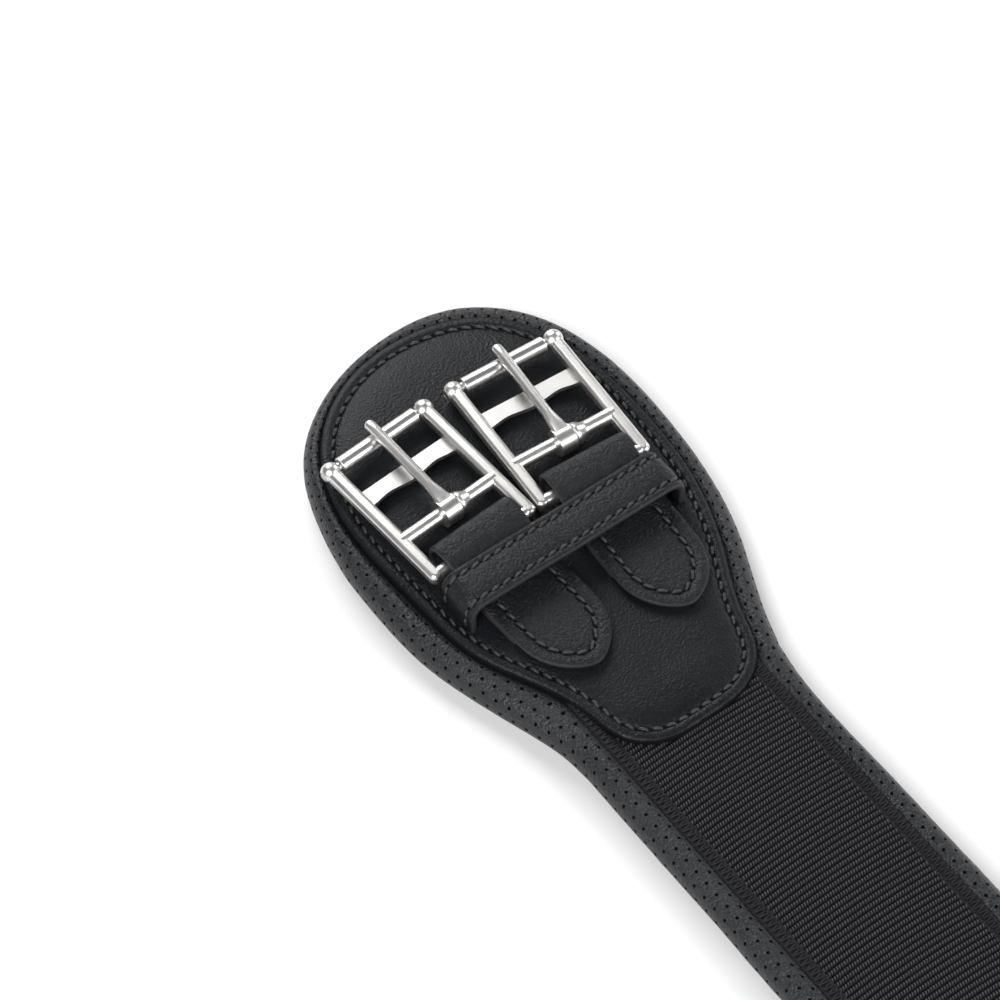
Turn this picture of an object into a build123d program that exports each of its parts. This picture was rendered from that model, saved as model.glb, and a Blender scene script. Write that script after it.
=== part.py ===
"""Saddle girth with two roller buckles at each end, in millimetres.

X runs along the girth, Y across it and Z up, towards the buckle side. The origin is the middle of the
girth on the surface that it lies on. Both ends are alike, mirrored about the plane X = 0.
"Out" is a distance along the girth, measured outward from the line of an end's tongue bars.
A buckle's own axes are x from its lower bar towards its roller, y across and z up, from the lower bar.
"""
import math
import os

from build123d import *

os.makedirs("parts", exist_ok=True)

# ---------------------------------------------------------------- driving dimensions
girth_size = 550.0            # between the tongue bars of the two ends, a 55 cm girth
ends = {"left": -1, "right": 1}
sides = {"front": -1, "rear": 1}

# pad
pad_thickness = 11.0
edge_radius = 5.4
skin = 1.2
core_gap = 0.1
core_edge_radius = 2.4
lining_inset = 8.0
neck_front = -33.5
neck_rear = 25.8
neck_stations = (-150.0, -75.0, 0.0, 75.0, 150.0)

# webbing, which lies in a well in the pad's top
well_floor = 7.6
webbing_width = 46.8
webbing_middle = -3.2
webbing_thickness = 2.0
webbing_overlap = 34.0        # how far it runs out past the tongue bars, under the end patch
side_gap = 0.1
patch_gap = 0.4

# end patch
patch_top = 12.0
patch_edge_radius = 1.4
thread_inset = 3.3
thread_width = 0.8
thread_thickness = 0.5
thread_gap = 0.05              # between the keeper's thread and its groove's bottom
groove_width = 1.0
groove_depth = 0.6

# keeper
keeper_out = -24.6
keeper_width = 13.0
keeper_thickness = 2.1
keeper_crown = 20.0           # height of its middle surface over the chapes
keeper_bend = 3.8
keeper_foot = 33.0            # from the girth's line to the middle of each foot
keeper_foot_depth = 2.0
keeper_row_spacing = 8.6
thread_foot = 12.6            # height of the ends of the keeper's thread rows
slit_gap = 0.15

# buckle frame
bar_height = 16.0
lower_bar_out = -13.4
lower_bar_offset = 17.5       # from the girth's line to the middle of each lower bar
splay = 3.6                   # degrees by which each buckle turns outward
bar_half_width = 15.4         # from a buckle's line to the middle of each side bar
bar_width = 3.7
bar_rounding = 1.25
tongue_bar_at = 13.4
guard_bar_at = 29.4
roller_at = 41.6
eye_radius = 2.7
eye_flat = 2.3
running_gap = 0.06
guard_width_end = 5.2
guard_width_waist = 4.3
guard_thickness = 1.4
guard_drop = 1.2              # how far the guard bar's middle lies below the lower bar's axis

# roller and its pin
pin_radius = 1.35
pin_gap = 0.03
pin_end_rounding = 0.4
roller_radius = 2.25
roller_length = 24.8
roller_end_rounding = 0.25

# tongue and its bar
tongue_bar_radius = 2.0
collar_radius = 3.15
collar_start = 2.6
collar_length = 4.4
collar_bevel = (0.5, 0.4)      # along the bar, and in radius, on the face beside the tongue
tongue_eye_radius = 3.7
tongue_eye_width = 4.8
tongue_radius = 1.5
tongue_root_past_bar = 1.0     # where the neck starts inside the eye, past the tongue bar's axis
tongue_root_height = 2.6
tongue_root_thickness = 2.2
tongue_root_rounding = 0.9
tongue_root_inset = 0.1        # how much narrower than the eye the neck starts
tongue_neck_length = 6.5
tongue_bend_start = 0.6       # past the roller's axis
tongue_overhang = 3.9         # tip beyond the roller's axis
tongue_tip_drop = 0.6
tongue_rest_gap = 0.05
tongue_tip_rounding = 1.0     # of the tip's rim

# chape, from its own lower bar towards the girth's middle
chape_width = 24.8
chape_shift = 0.4             # towards the rear
chape_slack = 3.0             # length of the loop's slot past the lower bar
chape_slope = 20.0
tab_top = 14.6
tab_shoulder = 29.0
tab_tip = 45.5
tab_tip_radius = 3.0
tab_thread_inset = 4.0
tab_thread_start = 20.0

# The pad's head, from the rear of the neck round the tip to the front of the neck: out, across.
pad_head = [
    (-91.5, neck_rear), (-74.3, 28.8), (-58.3, 35.0), (-36.6, 43.4), (-8.5, 47.8), (17.7, 47.8),
    (40.8, 40.7), (56.2, 23.3), (59.0, 2.0), (53.4, -18.5), (40.0, -35.2), (17.3, -44.7), (-8.5, -47.4),
    (-34.3, -45.0), (-54.2, -39.0), (-70.2, -34.5), (-88.5, neck_front),
]
# The end patch, from its tip round the rear, its tail and the front: out, across.
patch_edge = [
    (54.2, 2.5), (46.8, 27.3), (25.6, 40.2), (0.0, 43.0), (-25.2, 40.8), (-48.0, 33.3), (-65.4, 25.3),
    (-78.7, 19.8), (-84.3, 11.5), (-85.8, -1.5), (-84.6, -14.0), (-78.6, -21.6), (-66.0, -24.9),
    (-53.7, -29.3), (-37.6, -36.7), (-14.0, -39.7), (12.0, -40.2), (37.3, -31.8), (50.5, -15.4),
]


# ---------------------------------------------------------------- plan outlines
def place(end, point):
    """A point of the plan, from its distance outward from an end's tongue bars and across."""
    out, across = point
    return Vector(end * (girth_size / 2 + out), across, 0)


def pad_points():
    """The pad's outline, counter-clockwise, from the rear of the left neck."""
    left = [place(-1, point) for point in pad_head]
    right = [place(1, point) for point in reversed(pad_head)]
    front = [Vector(station, neck_front, 0) for station in neck_stations]
    rear = [Vector(station, neck_rear, 0) for station in reversed(neck_stations)]
    return left + front + right + rear


def moved_inward(points, inset):
    """The points of a closed smooth counter-clockwise curve, each moved inward by inset."""
    loop = Edge.make_spline(points, periodic=True)
    moved = []
    for point in points:
        tangent = loop.tangent_at(point)
        moved.append(point + Vector(-tangent.Y, tangent.X, 0) * inset)
    return moved


def closed_face(plane, points):
    """A flat face inside the closed smooth curve through the given points."""
    with BuildSketch(plane) as face:
        with BuildLine():
            Spline(*points, periodic=True)
        make_face()
    return face.sketch


def pad_face(height, inset):
    """The pad's plan at a height, moved inward by inset."""
    return closed_face(Plane.XY.offset(height), moved_inward(pad_points(), inset))


def patch_face(end, height, inset):
    """An end patch's plan at a height, moved inward by inset."""
    points = moved_inward([Vector(*point, 0) for point in patch_edge], inset)
    return closed_face(Plane.XY.offset(height), [place(end, (point.X, point.Y)) for point in points])


# ---------------------------------------------------------------- pad
def core_solid(gap):
    """The space inside the cover, below the well, made smaller by gap."""
    with BuildPart() as core:
        add(pad_face(skin, skin + gap))
        extrude(amount=well_floor - 2 * skin - gap)
        rims = core.edges().group_by(Axis.Z)
        fillet(rims[0] + rims[-1], core_edge_radius - gap)
    return core.part


with BuildPart() as pad_cover:
    add(pad_face(0, 0))
    extrude(amount=pad_thickness)
    pad_rims = pad_cover.edges().group_by(Axis.Z)
    fillet(pad_rims[0] + pad_rims[-1], edge_radius)
    with BuildSketch(Plane.XY.offset(well_floor)):
        with Locations((0, webbing_middle)):
            Rectangle(girth_size, webbing_width + 2 * side_gap)
        for end_sign in ends.values():
            add(patch_face(end_sign, 0, -patch_gap))
    extrude(amount=pad_thickness, mode=Mode.SUBTRACT)
    add(core_solid(0), mode=Mode.SUBTRACT)
    add(pad_face(0, lining_inset - side_gap))
    extrude(amount=skin, mode=Mode.SUBTRACT)
pad_cover.part.label = "pad_cover"
export_step(pad_cover.part, "parts/pad_cover.step")

with BuildPart() as foam_core:
    add(core_solid(core_gap))
foam_core.part.label = "foam_core"
export_step(foam_core.part, "parts/foam_core.step")

with BuildPart() as pad_lining:
    add(pad_face(0, lining_inset))
    extrude(amount=skin)
pad_lining.part.label = "pad_lining"
export_step(pad_lining.part, "parts/pad_lining.step")

with BuildPart() as webbing:
    with BuildSketch(Plane.XY.offset(well_floor)):
        with Locations((0, webbing_middle)):
            Rectangle(girth_size + 2 * webbing_overlap, webbing_width)
    extrude(amount=webbing_thickness)
webbing.part.label = "webbing"
export_step(webbing.part, "parts/webbing.step")


# ---------------------------------------------------------------- end patch and keeper
def make_end_patch(name, end):
    """Leather plate over the head, hollow below for the webbing, with a thread groove and two slits."""
    keeper_x = place(end, (keeper_out, 0)).X
    with BuildPart() as end_patch:
        add(patch_face(end, well_floor, 0))
        extrude(amount=patch_top - well_floor)
        fillet(end_patch.edges().group_by(Axis.Z)[-1], patch_edge_radius)
        with BuildSketch(Plane.XY.offset(well_floor)):
            with Locations((0, webbing_middle)):
                Rectangle(girth_size + 2 * webbing_overlap + side_gap, webbing_width + 2 * side_gap)
        extrude(amount=webbing_thickness, mode=Mode.SUBTRACT)
        with BuildSketch(Plane.XY.offset(patch_top - groove_depth)):
            add(patch_face(end, 0, thread_inset - groove_width / 2))
            add(patch_face(end, 0, thread_inset + groove_width / 2), mode=Mode.SUBTRACT)
        extrude(amount=groove_depth, mode=Mode.SUBTRACT)
        with BuildSketch(Plane.XY.offset(patch_top - keeper_foot_depth)):
            with Locations((keeper_x, -keeper_foot), (keeper_x, keeper_foot)):
                Rectangle(keeper_width + 2 * slit_gap, keeper_thickness + 2 * slit_gap)
        extrude(amount=keeper_foot_depth, mode=Mode.SUBTRACT)
    end_patch.part.label = f"end_patch_{name}"
    export_step(end_patch.part, f"parts/end_patch_{name}.step")


def make_patch_thread(name, end):
    """Thread that sews the end patch down, as one flat ring in the patch's groove."""
    with BuildPart() as patch_thread:
        with BuildSketch(Plane.XY.offset(patch_top - groove_depth)):
            add(patch_face(end, 0, thread_inset - thread_width / 2))
            add(patch_face(end, 0, thread_inset + thread_width / 2), mode=Mode.SUBTRACT)
        extrude(amount=thread_thickness)
    patch_thread.part.label = f"patch_thread_{name}"
    export_step(patch_thread.part, f"parts/patch_thread_{name}.step")


def arch_line(lift, foot_height):
    """Draw the line of an arch over both chapes, lift outside the keeper's middle surface."""
    foot = keeper_foot + lift
    crown = keeper_crown + lift
    corners = [(foot, foot_height), (foot, crown), (-foot, crown), (-foot, foot_height)]
    FilletPolyline(*corners, radius=keeper_bend + lift)


def arch_sketch(lift, width, foot_height):
    """The section of a band of the given width along such an arch."""
    outer = lift + width / 2
    inner = lift - width / 2
    with BuildSketch() as arch:
        with BuildLine():
            arch_line(outer, foot_height)
            arch_line(inner, foot_height)
            Line((keeper_foot + inner, foot_height), (keeper_foot + outer, foot_height))
            Line((-keeper_foot - inner, foot_height), (-keeper_foot - outer, foot_height))
        make_face()
    return arch.sketch


def keeper_plane(end, shift):
    """The plane across the girth, shift to the right of the keeper's middle."""
    return Plane.YZ.offset(place(end, (keeper_out, 0)).X + shift)


def make_keeper(name, end):
    """Leather band that arches over both chapes, with its feet in the patch's slits."""
    with BuildPart() as keeper:
        with BuildSketch(keeper_plane(end, -keeper_width / 2)):
            add(arch_sketch(0, keeper_thickness, patch_top - keeper_foot_depth + slit_gap))
        extrude(amount=keeper_width)
        for side in sides.values():
            with BuildSketch(keeper_plane(end, side * keeper_row_spacing / 2 - groove_width / 2)):
                add(arch_sketch(keeper_thickness / 2, 2 * groove_depth, thread_foot - side_gap))
            extrude(amount=groove_width, mode=Mode.SUBTRACT)
    keeper.part.label = f"keeper_{name}"
    export_step(keeper.part, f"parts/keeper_{name}.step")


def make_keeper_thread(name, end):
    """The keeper's two thread rows, as flat bands in its grooves."""
    groove_bottom = keeper_thickness / 2 - groove_depth
    band_middle = groove_bottom + thread_gap + thread_thickness / 2
    with BuildPart() as keeper_thread:
        for side in sides.values():
            with BuildSketch(keeper_plane(end, side * keeper_row_spacing / 2 - thread_width / 2)):
                add(arch_sketch(band_middle, thread_thickness, thread_foot))
            extrude(amount=thread_width)
    keeper_thread.part.label = f"keeper_thread_{name}"
    export_step(keeper_thread.part, f"parts/keeper_thread_{name}.step")


# ---------------------------------------------------------------- buckles and chapes
def buckle_plane(end, side):
    """A buckle's own plane, at its lower bar: x towards its roller, z up."""
    turn = math.radians(splay)
    middle = place(end, (lower_bar_out, side * lower_bar_offset))
    towards_roller = Vector(end * math.cos(turn), side * math.sin(turn), 0)
    return Plane(origin=middle + Vector(0, 0, bar_height), x_dir=towards_roller, z_dir=(0, 0, 1))


def side_view(plane):
    """The upright plane through a buckle's line: x along the buckle, y up."""
    return Plane(origin=plane.origin, x_dir=plane.x_dir, z_dir=-plane.y_dir)


def cross_view(plane, distance, height):
    """An upright plane across a buckle, at a distance along it: x across, y up."""
    origin = plane.from_local_coords(Vector(distance, 0, height))
    return Plane(origin=origin, x_dir=plane.y_dir, z_dir=plane.x_dir)


def make_frame(name, plane):
    """Side bars with eyes, lower bar, tongue bar with collars, and flat guard bar, in one casting."""
    tongue_bar_plane = cross_view(plane, tongue_bar_at, 0)
    collar_end = collar_start + collar_length
    bevel_length, bevel_height = collar_bevel
    with BuildPart(plane) as frame:
        with BuildSketch(plane.offset(-bar_width / 2)):
            with Locations((roller_at / 2, -bar_half_width), (roller_at / 2, bar_half_width)):
                SlotCenterToCenter(roller_at, bar_width)
        extrude(amount=bar_width)
        rims = frame.edges().group_by(Axis.Z)
        fillet(rims[0] + rims[-1], bar_rounding)
        Cylinder(bar_width / 2, 2 * bar_half_width, rotation=(90, 0, 0))
        with BuildSketch(tongue_bar_plane):
            with BuildLine():
                for side in sides.values():
                    start = (side * collar_start, 0)
                    bevel = (side * collar_start, collar_radius - bevel_height)
                    crest = (side * (collar_start + bevel_length), collar_radius)
                    Line(start, bevel)
                    Line(bevel, crest)
                    Spline(crest, (side * collar_end, tongue_bar_radius), tangents=[(side, 0), (side, 0)])
                    Line((side * collar_end, tongue_bar_radius), (side * collar_end, 0))
                    Line((side * collar_end, 0), start)
            make_face()
        revolve(axis=Axis(tongue_bar_plane.origin, plane.y_dir))
        with Locations((tongue_bar_at, 0, 0)):
            Cylinder(tongue_bar_radius, 2 * bar_half_width, rotation=(90, 0, 0))
        with BuildSketch(plane.offset(-guard_drop - guard_thickness / 2)):
            with BuildLine():
                far_edge = guard_bar_at + guard_width_end / 2
                near_edge = guard_bar_at - guard_width_end / 2
                waist = far_edge - guard_width_waist
                Line((far_edge, -bar_half_width), (far_edge, bar_half_width))
                Line((far_edge, bar_half_width), (near_edge, bar_half_width))
                Spline((near_edge, bar_half_width), (waist, bar_half_width / 2), (near_edge, 0),
                       (waist, -bar_half_width / 2), (near_edge, -bar_half_width),
                       tangents=[(0, -1), (0, -1)])
                Line((near_edge, -bar_half_width), (far_edge, -bar_half_width))
            make_face()
        extrude(amount=guard_thickness)
        with Locations((roller_at, -bar_half_width, 0), (roller_at, bar_half_width, 0)):
            Sphere(eye_radius)
        with Locations((roller_at, 0, 0)):
            Cylinder(pin_radius + pin_gap, 2 * (bar_half_width + 2 * eye_radius), rotation=(90, 0, 0),
                     mode=Mode.SUBTRACT)
    frame.part.label = f"buckle_frame_{name}"
    export_step(frame.part, f"parts/buckle_frame_{name}.step")


def make_roller_pin(name, plane):
    """Fixed pin through both eyes, which the roller turns on."""
    with BuildPart(plane) as roller_pin:
        with Locations((roller_at, 0, 0)):
            Cylinder(pin_radius, 2 * (bar_half_width + eye_flat), rotation=(90, 0, 0))
        fillet(roller_pin.edges().filter_by(GeomType.CIRCLE), pin_end_rounding)
    roller_pin.part.label = f"roller_pin_{name}"
    export_step(roller_pin.part, f"parts/roller_pin_{name}.step")


def make_roller(name, plane):
    """Tube that turns on the pin."""
    with BuildPart(plane) as roller:
        with Locations((roller_at, 0, 0)):
            Cylinder(roller_radius, roller_length, rotation=(90, 0, 0))
            Cylinder(pin_radius + running_gap, roller_length, rotation=(90, 0, 0), mode=Mode.SUBTRACT)
        fillet(roller.edges().filter_by(GeomType.CIRCLE), roller_end_rounding)
    roller.part.label = f"roller_{name}"
    export_step(roller.part, f"parts/roller_{name}.step")


def make_tongue(name, plane):
    """Tongue with an eye round its bar, a flattened neck and a round shank that rests on the roller."""
    rest_height = roller_radius + tongue_rest_gap + tongue_radius
    root = (tongue_bar_at + tongue_root_past_bar, tongue_root_height)
    root_width = tongue_eye_width - tongue_root_inset
    bend = (roller_at + tongue_bend_start, rest_height)
    tip = (roller_at + tongue_overhang, rest_height - tongue_tip_drop)
    rise = (rest_height - tongue_root_height) / (roller_at - root[0])
    neck_end = (root[0] + tongue_neck_length, root[1] + rise * tongue_neck_length)
    with BuildPart(plane) as tongue:
        with BuildSketch(cross_view(plane, *root)):
            RectangleRounded(root_width, tongue_root_thickness, tongue_root_rounding)
        with BuildSketch(cross_view(plane, *neck_end)):
            Circle(tongue_radius)
        loft()
        with BuildLine(side_view(plane)) as shank_line:
            straight = Line(neck_end, bend)
            TangentArc(bend, tip, tangent=straight % 1)
        with BuildSketch(cross_view(plane, *neck_end)):
            Circle(tongue_radius)
        sweep(path=shank_line.line)
        tip_rim = tongue.faces().sort_by(Axis(plane.origin, plane.x_dir))[-1].edges()
        fillet(tip_rim, tongue_tip_rounding)
        with Locations((tongue_bar_at, 0, 0)):
            Cylinder(tongue_eye_radius, tongue_eye_width, rotation=(90, 0, 0))
            Cylinder(tongue_bar_radius + running_gap, tongue_eye_width, rotation=(90, 0, 0),
                     mode=Mode.SUBTRACT)
    tongue.part.label = f"tongue_{name}"
    export_step(tongue.part, f"parts/tongue_{name}.step")


def chape_plane(plane):
    """A chape's own plane, at its lower bar: x towards the girth's middle, z up."""
    origin = plane.origin + Vector(0, chape_shift, 0)
    return Plane(origin=origin, x_dir=-plane.x_dir, z_dir=plane.z_dir)


def tab_sketch(inset):
    """A chape's plan in its own axes, a strap with a pointed-arch tab, moved inward by inset."""
    half_width = chape_width / 2
    arch_length = tab_tip - tab_shoulder
    arch_radius = (arch_length ** 2 + half_width ** 2) / (2 * half_width)
    tip = tab_shoulder + math.sqrt((arch_radius - inset) ** 2 - (arch_radius - half_width) ** 2)
    edge = half_width - inset
    with BuildSketch() as tab:
        with BuildLine():
            Line((-tab_tip, edge), (-tab_tip, -edge))
            for side in sides.values():
                Line((-tab_tip, side * edge), (tab_shoulder, side * edge))
                TangentArc((tab_shoulder, side * edge), (tip, 0), tangent=(1, 0))
        make_face()
        if not inset:
            fillet(tab.vertices().sort_by(Axis.X)[-1], tab_tip_radius)
    return tab.sketch


def make_chape(name, plane):
    """Leather folded round the lower bar, with a loop that the bar turns in and a pointed-arch tab."""
    own = chape_plane(plane)
    loop_radius = bar_height - patch_top
    bore_radius = bar_width / 2 + running_gap
    slope = math.radians(chape_slope)
    crest = (loop_radius * math.sin(slope), loop_radius * math.cos(slope))
    tab_height = tab_top - bar_height
    slope_foot = (crest[0] + (crest[1] - tab_height) / math.tan(slope), tab_height)
    with BuildPart() as chape:
        with BuildSketch(side_view(own).offset(-chape_width / 2)):
            with BuildLine():
                Line((-chape_slack, -loop_radius), (tab_tip, -loop_radius))
                Line((tab_tip, -loop_radius), (tab_tip, tab_height))
                Line((tab_tip, tab_height), slope_foot)
                Line(slope_foot, crest)
                RadiusArc(crest, (0, loop_radius), -loop_radius)
                Line((0, loop_radius), (-chape_slack, loop_radius))
                ThreePointArc((-chape_slack, loop_radius), (-chape_slack - loop_radius, 0),
                              (-chape_slack, -loop_radius))
            make_face()
            with Locations((-chape_slack / 2, 0)):
                SlotCenterToCenter(chape_slack, 2 * bore_radius, mode=Mode.SUBTRACT)
        extrude(amount=chape_width)
        with BuildSketch(own.offset(-loop_radius)):
            add(tab_sketch(0))
        extrude(amount=2 * loop_radius, mode=Mode.INTERSECT)
        with BuildSketch(own.offset(tab_height - groove_depth)):
            add(tab_thread_sketch(groove_width, side_gap))
        extrude(amount=groove_depth, mode=Mode.SUBTRACT)
    chape.part.label = f"chape_{name}"
    export_step(chape.part, f"parts/chape_{name}.step")


def tab_thread_sketch(width, end_gap):
    """The plan of the tab's thread, in the chape's own axes."""
    start = tab_thread_start - end_gap
    with BuildSketch() as row:
        add(tab_sketch(tab_thread_inset - width / 2))
        add(tab_sketch(tab_thread_inset + width / 2), mode=Mode.SUBTRACT)
        with Locations((start + tab_tip / 2, 0)):
            Rectangle(tab_tip, chape_width, mode=Mode.INTERSECT)
    return row.sketch


def make_chape_thread(name, plane):
    """Thread that sews the tab down, as one flat pointed band in the tab's groove."""
    own = chape_plane(plane)
    with BuildPart() as chape_thread:
        with BuildSketch(own.offset(tab_top - bar_height - groove_depth)):
            add(tab_thread_sketch(thread_width, 0))
        extrude(amount=thread_thickness)
    chape_thread.part.label = f"chape_thread_{name}"
    export_step(chape_thread.part, f"parts/chape_thread_{name}.step")


for end_name, end_sign in ends.items():
    make_end_patch(end_name, end_sign)
    make_patch_thread(end_name, end_sign)
    make_keeper(end_name, end_sign)
    make_keeper_thread(end_name, end_sign)
    for side_name, side_sign in sides.items():
        buckle_name = f"{end_name}_{side_name}"
        buckle = buckle_plane(end_sign, side_sign)
        make_frame(buckle_name, buckle)
        make_roller_pin(buckle_name, buckle)
        make_roller(buckle_name, buckle)
        make_tongue(buckle_name, buckle)
        make_chape(buckle_name, buckle)
        make_chape_thread(buckle_name, buckle)
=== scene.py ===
"""Looks of the saddle girth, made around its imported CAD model.

Lengths are in millimetres until a mesh is made. "Out" is a distance along the girth, measured outward from
the line of an end's tongue bars, as in the CAD.
"""

import math

import bmesh
import bpy
import numpy as np
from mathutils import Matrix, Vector


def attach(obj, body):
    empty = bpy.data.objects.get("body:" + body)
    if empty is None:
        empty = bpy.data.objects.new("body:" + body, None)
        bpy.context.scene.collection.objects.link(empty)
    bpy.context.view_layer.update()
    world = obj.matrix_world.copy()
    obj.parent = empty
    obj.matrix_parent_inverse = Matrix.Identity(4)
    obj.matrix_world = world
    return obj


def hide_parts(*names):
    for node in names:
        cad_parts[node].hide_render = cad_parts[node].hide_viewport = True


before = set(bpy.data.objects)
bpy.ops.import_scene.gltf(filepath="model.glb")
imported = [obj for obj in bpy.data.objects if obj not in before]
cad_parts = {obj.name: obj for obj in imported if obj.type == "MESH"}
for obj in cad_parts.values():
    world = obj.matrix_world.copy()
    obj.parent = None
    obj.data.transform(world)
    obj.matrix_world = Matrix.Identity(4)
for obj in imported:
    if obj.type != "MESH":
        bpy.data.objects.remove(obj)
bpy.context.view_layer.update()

# ---------------------------------------------------------------- sizes shared with the CAD
HALF_SIZE = 275.0                 # from the girth's middle to each line of tongue bars
ENDS = {"left": -1, "right": 1}
SIDES = {"front": -1, "rear": 1}
PAD_TOP = 11.0
EDGE_RADIUS = 5.45
NECK_FRONT = -33.5
NECK_REAR = 25.8
NECK_MIDDLE = (NECK_FRONT + NECK_REAR) / 2
NECK_STATIONS = (-150.0, -75.0, 0.0, 75.0, 150.0)
LINING_INSET = 8.0
WEBBING_WIDTH = 46.8
WEBBING_MIDDLE = -3.2
WEBBING_FLOOR = 7.6
WEBBING_TOP = 9.6
WEBBING_END = 309.0
PATCH_TOP = 12.0
KEEPER_OUT = -24.6
KEEPER_WIDTH = 13.0
KEEPER_THICKNESS = 2.1
KEEPER_CROWN = 20.0
KEEPER_BEND = 3.8
KEEPER_FOOT = 33.0
KEEPER_ROW = 4.3                  # from the keeper's middle to each of its thread rows
BAR_HEIGHT = 16.0
BAR_OUT = -13.4
BAR_OFFSET = 17.5
SPLAY = math.radians(3.6)
CHAPE_SHIFT = 0.4
CHAPE_HALF = 12.4
CHAPE_SLACK = 3.0
CHAPE_LOOP = 4.0
CHAPE_SLOPE = math.radians(20.0)
TAB_TOP = 14.6
TAB_SHOULDER = 29.0
TAB_TIP = 45.5
TAB_TIP_RADIUS = 3.0
STITCH = 3.6                      # pitch of every row of stitches
RIB_PITCH = 1.66
YARN_PITCH = 0.81
RIB_BOW = 0.9                     # how far the ribs' ends lag towards the girth's middle
BOW_START = 40.0                  # from the middle, where the ribs of the two halves turn over
RIBBED_HALF = 19.5                # half the width of the ribs, between the bound edges
FINE_HALF = 218.0                 # the part that the patches leave in view, and a little more

PAD_HEAD = [
    (-91.5, NECK_REAR), (-74.3, 28.8), (-58.3, 35.0), (-36.6, 43.4), (-8.5, 47.8), (17.7, 47.8),
    (40.8, 40.7), (56.2, 23.3), (59.0, 2.0), (53.4, -18.5), (40.0, -35.2), (17.3, -44.7), (-8.5, -47.4),
    (-34.3, -45.0), (-54.2, -39.0), (-70.2, -34.5), (-88.5, NECK_FRONT),
]
PATCH_EDGE = [
    (54.2, 2.5), (46.8, 27.3), (25.6, 40.2), (0.0, 43.0), (-25.2, 40.8), (-48.0, 33.3), (-65.4, 25.3),
    (-78.7, 19.8), (-84.3, 11.5), (-85.8, -1.5), (-84.6, -14.0), (-78.6, -21.6), (-66.0, -24.9),
    (-53.7, -29.3), (-37.6, -36.7), (-14.0, -39.7), (12.0, -40.2), (37.3, -31.8), (50.5, -15.4),
]


# ---------------------------------------------------------------- curves and meshes
MERGE_DISTANCE = 0.02
SPAN_POINTS = 60                  # of a loop's curve, between two of its knots


class Loop:
    """The closed smooth curve through the given points, which run counter-clockwise."""

    def __init__(self, knots):
        knots = np.asarray(knots, float)
        count = len(knots)
        after = np.roll(knots, -1, 0)
        chord = np.linalg.norm(after - knots, axis=1)
        before = np.roll(chord, 1)
        system = np.diag(2 * (before + chord))
        for i in range(count):
            system[i, i - 1] += before[i]
            system[i, (i + 1) % count] += chord[i]
        slope = (after - knots) / chord[:, None]
        bend = np.linalg.solve(system, 6 * (slope - np.roll(slope, 1, 0)))
        spans = []
        for i in range(count):
            b = np.linspace(0, 1, SPAN_POINTS, endpoint=False)[:, None]
            a = 1 - b
            j = (i + 1) % count
            curve = (a ** 3 - a) * bend[i] + (b ** 3 - b) * bend[j]
            spans.append(a * knots[i] + b * knots[j] + curve * chord[i] ** 2 / 6)
        self.points = np.vstack(spans)
        steps = np.linalg.norm(np.roll(self.points, -1, 0) - self.points, axis=1)
        self.length = steps.sum()
        self.along = np.concatenate([[0], np.cumsum(steps)[:-1]])
        tangent = np.roll(self.points, -1, 0) - np.roll(self.points, 1, 0)
        tangent /= np.linalg.norm(tangent, axis=1)[:, None]
        self.normals = np.stack([-tangent[:, 1], tangent[:, 0]], 1)

    def read(self, values, at):
        return np.interp(at, self.along, values, period=self.length)

    def point(self, at):
        return np.stack([self.read(self.points[:, k], at) for k in (0, 1)], -1)

    def inward(self, at):
        normal = np.stack([self.read(self.normals[:, k], at) for k in (0, 1)], -1)
        return normal / np.linalg.norm(normal, axis=-1, keepdims=True)


def waves(seed, shortest, longest, length, count=14):
    """A smooth wandering value along a closed length, about 1 at most, the same at each run."""
    draw = np.random.default_rng(seed)
    turns = np.round(length / draw.uniform(shortest, longest, count))
    phases = draw.uniform(0, 2 * math.pi, count)
    sizes = draw.uniform(0.5, 1, count)
    sizes /= np.sqrt((sizes ** 2).sum()) * 1.5

    def value(at):
        at = np.asarray(at, float)[..., None]
        return (sizes * np.sin(2 * math.pi * turns * at / length + phases)).sum(-1)

    return value


def grid_faces(rows, columns, wrap=True, start=0):
    """Quads of a lattice whose points are stored row by row; wrap joins the last column to the first."""
    faces = []
    for r in range(rows - 1):
        for c in range(columns if wrap else columns - 1):
            d = (c + 1) % columns
            faces.append((start + r * columns + c, start + r * columns + d,
                          start + (r + 1) * columns + d, start + (r + 1) * columns + c))
    return faces


def piece(name, points, faces, materials, body, replaced=(), marks=None):
    """A smooth mesh from points in millimetres, which rides on a body; marks gives each face's material."""
    mesh = bpy.data.meshes.new(name)
    mesh.from_pydata((np.asarray(points, float) / 1000).tolist(), [], faces)
    for material in materials:
        mesh.materials.append(material)
    if marks is not None:
        mesh.polygons.foreach_set("material_index", marks)
    mesh.polygons.foreach_set("use_smooth", [True] * len(mesh.polygons))
    mesh.update()
    made = bpy.data.objects.new(name, mesh)
    bpy.context.scene.collection.objects.link(made)
    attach(made, body)
    if replaced:
        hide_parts(*replaced)
    return made


def placed(end, local):
    """Points from out, across and height to the girth's frame."""
    local = np.asarray(local, float)
    return np.stack([end * (HALF_SIZE + local[..., 0]), local[..., 1], local[..., 2]], -1)


def facing(end, faces):
    """Faces made for the right end, turned over for the left one, which mirrors it."""
    return faces if end > 0 else [tuple(reversed(face)) for face in faces]


def merge(made):
    """Joins points that coincide, such as where two sides of a lattice meet."""
    work = bmesh.new()
    work.from_mesh(made.data)
    bmesh.ops.remove_doubles(work, verts=work.verts, dist=MERGE_DISTANCE / 1000)
    bmesh.ops.dissolve_degenerate(work, edges=work.edges, dist=1e-7)
    work.to_mesh(made.data)
    work.free()
    made.data.update()


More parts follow.
